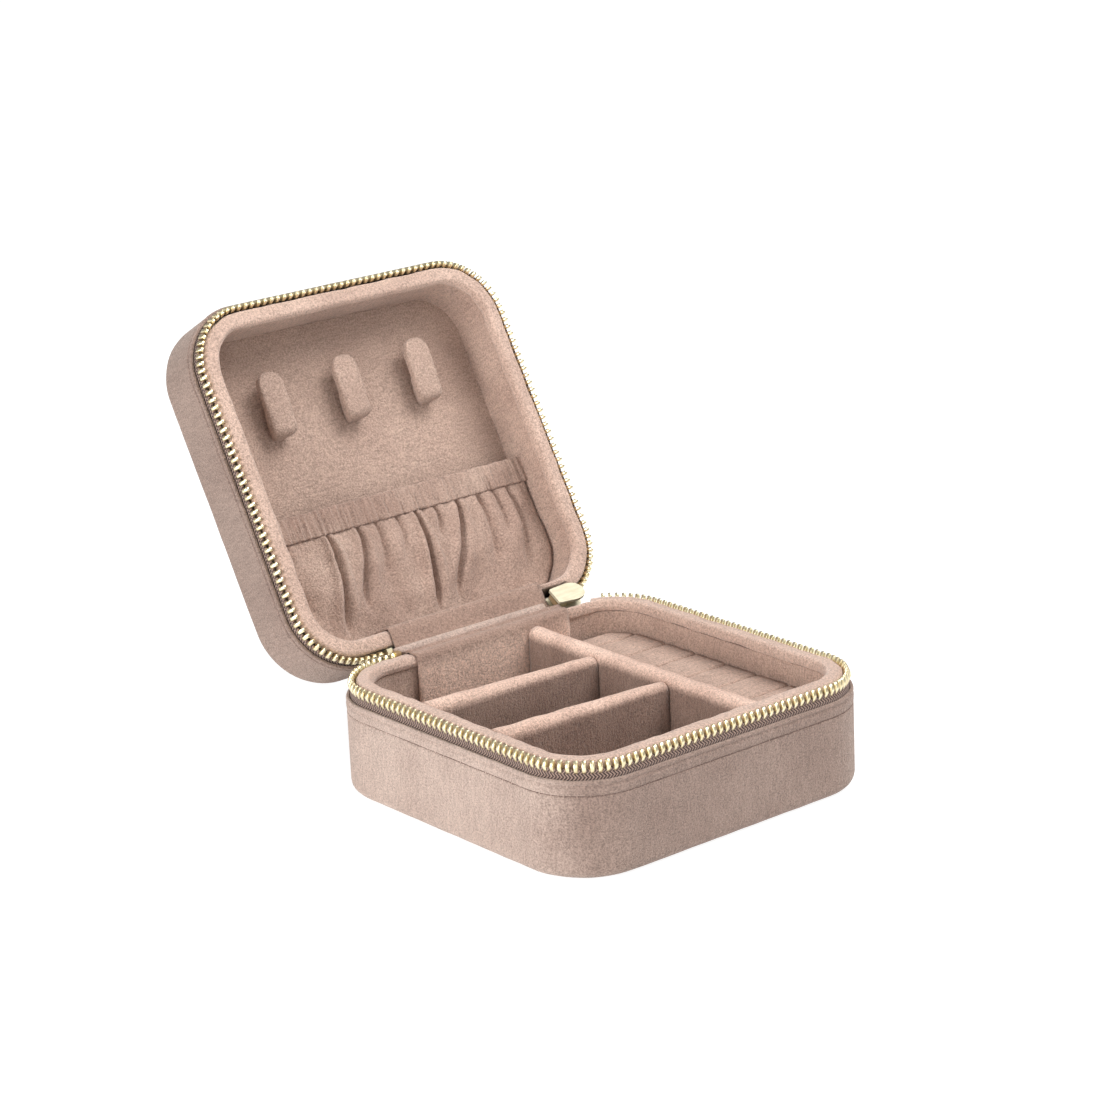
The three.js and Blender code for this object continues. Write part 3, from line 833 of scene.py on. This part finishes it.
def band():
    """Gathered casing along the pocket's mouth, with fine upright puckers, tucked into the walls."""
    low, high = span("pocket_band", "lid")
    reach = HALF - BESIDE_WALL
    section = rounded([(low.y, high.z, 0.4), (low.y, low.z + 0.35, 0.7), (high.y, low.z + 0.35, 0.5),
                       (high.y, high.z, 0.4)], 6)
    stations = spaced(-reach, reach, 0.3)
    points = []
    for x in stations:
        lip = 0.22 * noise.noise(Vector((x / 3.1, 9.0, 0)))
        for y, z in section:
            t = (y - low.y) / (high.y - low.y)
            front = 1 - smooth_step((z - low.z) / (high.z - low.z))
            wave = PUCKER_DEPTH * gathers(x + 0.5 * math.sin(x) * t) * (0.45 + 0.55 * t) * front
            scallop = 0.2 * gathers(x) * t
            points.append((x, y + lip * (1 - t) + scallop, min(z - wave, z + 0.3)))
    casing = build("pocket_casing", points, tube_faces(len(stations), len(section)), "lid",
                   MATERIALS["casing"], ["pocket_band"])

    def place(x, _):
        centre = Vector((x, high.y + 0.05 + 0.18 * gathers(x), low.z + 0.75))
        return centre, Vector((0, 1, 0)), Vector((0, 0, 1))

    thread_row("pocket_stitches", "pocket_velvet", "lid", 1 - reach, reach - 1, *POCKET_STITCH, place)


POCKET_THICK = 0.7


def pouch():
    """Gathered pocket cloth: fixed along the walls, folded under the band, open behind it."""
    low, high = span("pocket_pouch", "lid")
    top = low.y - 0.6
    rows, columns = 64, 220
    outside, inside = [], []
    for i in range(rows + 1):
        t = i / rows
        y = top + (high.y - top) * t
        reach = inside_reach(y, BESIDE_WALL)
        for k in range(columns + 1):
            u = 2 * k / columns - 1
            x = u * reach
            side = min(reach - abs(x), (high.y - y))
            wall = 1 - smooth_step(side / 2.0)
            bulge = 0.7 * math.sin(math.pi * min(1, t * 1.15)) * (1 - u * u * 0.6)
            folds = fold_depth(x, y, top) * (1 - wall)
            puff = 1.3 * noise.noise(Vector((x / 6.5, y / 11.0, 1.0))) * smooth_step(t * 4)
            fine = -0.25 * gathers(x) * (1 - smooth_step(t * 5))
            z = low.z + 0.5 - bulge + folds + puff + fine + 1.1 * wall * wall
            outside.append((x, y, z))
            inside.append((x * (1 - 0.012), y - 0.25 * wall, min(z + POCKET_THICK, high.z)))
    piece = build("pocket_cloth", outside + inside, cloth_faces(rows + 1, columns + 1), "lid",
                  MATERIALS["pocket"], ["pocket_pouch"])
    ruffle(piece, 0.2, 3.5, 4.0)


# ---- hinge cloth ----------------------------------------------------------------------------
def strip(name, path, sides, thick, material, replaces, seed):
    """A band of cloth along X: path is its outer line in (y, z) of the rest place."""
    smooth = path_through(path, 6)
    rows, columns = len(smooth), 40
    top, under = [], []
    for i, (y, z) in enumerate(smooth):
        y0, z0 = smooth[max(0, i - 1)]
        y1, z1 = smooth[min(rows - 1, i + 1)]
        along = Vector((y1 - y0, z1 - z0)).normalized()
        inward = Vector((along.y, -along.x)) * thick
        for k in range(columns + 1):
            x = sides[0] + (sides[1] - sides[0]) * k / columns
            bump = 0.18 * noise.noise(Vector((x / 7.0, i / 9.0, seed)))
            top.append((x, y - inward.x * bump, z - inward.y * bump))
            under.append((x, y + inward.x, z + inward.y))
    return build(name, top + under, cloth_faces(rows, columns + 1), None, material, replaces)


def path_through(points, steps):
    """A smooth line through the points, as Catmull-Rom arcs."""
    line = []
    count = len(points)
    for i in range(count - 1):
        a, b, c, d = (Vector(points[min(count - 1, max(0, i + k))]) for k in (-1, 0, 1, 2))
        for k in range(steps):
            t = k / steps
            line.append(tuple(0.5 * (2 * b + (c - a) * t + (2 * a - 5 * b + 4 * c - d) * t * t
                                     + (3 * b - a - 3 * c + d) * t ** 3)))
    line.append(tuple(points[-1]))
    return line


def lid_point(y, z):
    """A closed-case point of the lid as (y, z) at rest."""
    p = closing("lid") @ Vector((0, y, z))
    return (p.y, p.z)


FLAP_FLAT = (0.050, 0.040)              # metres, as cut
SPINE_FLAT = (0.049, 0.012)
FLAP_THICK, SPINE_THICK = 0.6, 0.8


def hinge_cloths():
    """The inner flap over both rims and the outer spine, each one cloth across the hinge."""
    half_width = span("hinge_spine_base", "base")[1].x
    flap_path = [(42.1, 12.2), (42.1, 20), (42.15, 27.4), (42.6, 29.2), (43.8, 29.8), (45.2, 29.6),
                 (46.4, 30.0), (47.7, 29.3), (49.1, 28.8), (50.2, 28.9),
                 lid_point(48.0, 30.0), lid_point(44.2, 29.9), lid_point(42.4, 30.6),
                 lid_point(42.1, 33.0), lid_point(42.1, 37.8)]
    flap = strip("hinge_flap", flap_path, FLAP_SIDES, FLAP_THICK, MATERIALS["flap"],
                 ["hinge_flap_base", "hinge_flap_lid"], 1.0)
    spine_path = [(49.95, 25.2), (49.9, 27.0), (49.95, 28.3), (50.35, 28.9), (50.9, 28.75),
                  lid_point(49.9, 31.6), lid_point(49.95, 33.7)]
    spine = strip("hinge_spine", spine_path[::-1], (-half_width, half_width), SPINE_THICK,
                  MATERIALS["outside"]["base"], ["hinge_spine_base", "hinge_spine_lid"],
                  2.0)
    for cloth, flat, start, end in ((flap, FLAP_FLAT, (48.6, 29.3), (52.2, 30.6)),
                                    (spine, SPINE_FLAT, (49.7, 28.0), (51.5, 28.0))):
        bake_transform(cloth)


# ---- carried-over nodes ---------------------------------------------------------------------
def soften_edges(node, width, material):
    """Keeps a CAD node, with rounded edges and its own material."""
    part = frame["nodes"][node]
    part.data.materials.clear()
    part.data.materials.append(material)
    edge = part.modifiers.new("edge", "BEVEL")
    edge.width = width * M
    edge.segments = 3
    edge.limit_method = "ANGLE"
    edge.angle_limit = math.radians(35)
    edge.harden_normals = True
    part.data.shade_smooth()


def carried_over():
    for node in ("zip_slider", "zip_pull"):
        soften_edges(node, 0.16, MATERIALS["plate"])
    for node in ("zip_bottom_stop", "zip_top_stop_base", "zip_top_stop_lid"):
        soften_edges(node, 0.25, MATERIALS["zip"])
    for node in ("base_board", "lid_board"):
        soften_edges(node, 0.2, MATERIALS["board"])
    soften_edges("ring_foam", 0.2, MATERIALS["foam"])
    soften_edges("pocket_elastic", 0.1, MATERIALS["elastic"])


# ---- stage ----------------------------------------------------------------------------------
CAMERA_AZIMUTH, CAMERA_ELEVATION, CAMERA_ROLL = -39.168, 17.461, -2.544     # degrees
CAMERA_AIM = (54.383, 83.310, 30.499)
CAMERA_DISTANCE = 933.908
CAMERA_LENS = 110.69
SENSOR = 36


def camera():
    azimuth, elevation, roll = (math.radians(a) for a in (CAMERA_AZIMUTH, CAMERA_ELEVATION, CAMERA_ROLL))
    level = Vector((math.sin(azimuth), -math.cos(azimuth), 0))
    back = level * math.cos(elevation) + Vector((0, 0, math.sin(elevation)))
    right = Vector((0, 0, 1)).cross(back).normalized()
    up = back.cross(right)
    across = right * math.cos(roll) + up * math.sin(roll)
    upward = up * math.cos(roll) - right * math.sin(roll)
    data = bpy.data.cameras.new("camera")
    data.lens = CAMERA_LENS
    data.sensor_width = SENSOR
    data.clip_start = 0.01
    item = bpy.data.objects.new("camera", data)
    item.matrix_world = Matrix((across, upward, back)).transposed().to_4x4()
    item.location = (Vector(CAMERA_AIM) + back * CAMERA_DISTANCE) * M
    bpy.context.scene.collection.objects.link(item)
    bpy.context.scene.camera = item


def soft_light(name, place, target, size, power):
    data = bpy.data.lights.new(name, "AREA")
    data.shape = "DISK"
    data.size = size
    data.energy = power
    item = bpy.data.objects.new(name, data)
    item.location = place
    item.rotation_euler = (Vector(place) - Vector(target)).to_track_quat("Z", "Y").to_euler()
    bpy.context.scene.collection.objects.link(item)


WORLD_LIGHT = 0.35
LIGHTS = {                              # place and size in metres, power in watts
    "overhead": ((0.65, -0.45, 1.45), 1.2, 30),
    "left": ((-1.60, -0.20, 0.45), 0.8, 22),
    "front": ((-0.70, -1.60, 0.80), 1.2, 6),
}
FLOOR_GLOW = 0.85
FLOOR_REACH = 40                        # metres each way
STAGE_MIDDLE = (0, 0.03, 0.04)          # where the lights point


def studio():
    scene = bpy.context.scene
    scene.view_settings.view_transform = "Standard"
    world = bpy.data.worlds.new("studio")
    world.use_nodes = True
    world.node_tree.nodes["Background"].inputs["Color"].default_value = (1, 1, 1, 1)
    world.node_tree.nodes["Background"].inputs["Strength"].default_value = WORLD_LIGHT
    scene.world = world
    for name, (place, size, power) in LIGHTS.items():
        soft_light(name, place, STAGE_MIDDLE, size, power)
    reach = FLOOR_REACH
    sheet = bpy.data.meshes.new("floor")
    sheet.from_pydata([(-reach, -reach, 0), (reach, -reach, 0), (reach, reach, 0), (-reach, reach, 0)],
                      [], [(0, 1, 2, 3)])
    floor = bpy.data.objects.new("floor", sheet)
    scene.collection.objects.link(floor)
    material = bpy.data.materials.new("pale_floor")
    material.use_nodes = True
    shader = material.node_tree.nodes["Principled BSDF"]
    shader.inputs["Base Color"].default_value = (0.3, 0.3, 0.3, 1)
    shader.inputs["Roughness"].default_value = 0.9
    shader.inputs["Emission Color"].default_value = (1, 1, 1, 1)
    shader.inputs["Emission Strength"].default_value = FLOOR_GLOW
    floor.data.materials.append(material)


# ---- the whole case -------------------------------------------------------------------------
def make_case():
    for half in (BASE, LID):
        cover(half, PLATE[half.body])
        stitches(half)
        rim(half)
        liner(half)
        tape(half)
        teeth(half)
    pad("floor_lining", "base_floor_pad", "base", MATERIALS["wall"]["base"], (0.0, 0.0))
    pad("panel_lining", "lid_panel", "lid", MATERIALS["panel"], (-0.3, 0.0))
    divider("divider_long", "long_divider", 1)
    divider("divider_rear", "short_divider_rear", 0, SHORT_DIVIDER_RISE)
    divider("divider_front", "short_divider_front", 0, SHORT_DIVIDER_RISE)
    for index in range(1, ROLL_COUNT + 1):
        ring_roll(index)
    for place in ("left", "middle", "right"):
        hook(place)
    band()
    pouch()
    hinge_cloths()
    carried_over()


camera()
studio()
make_case()
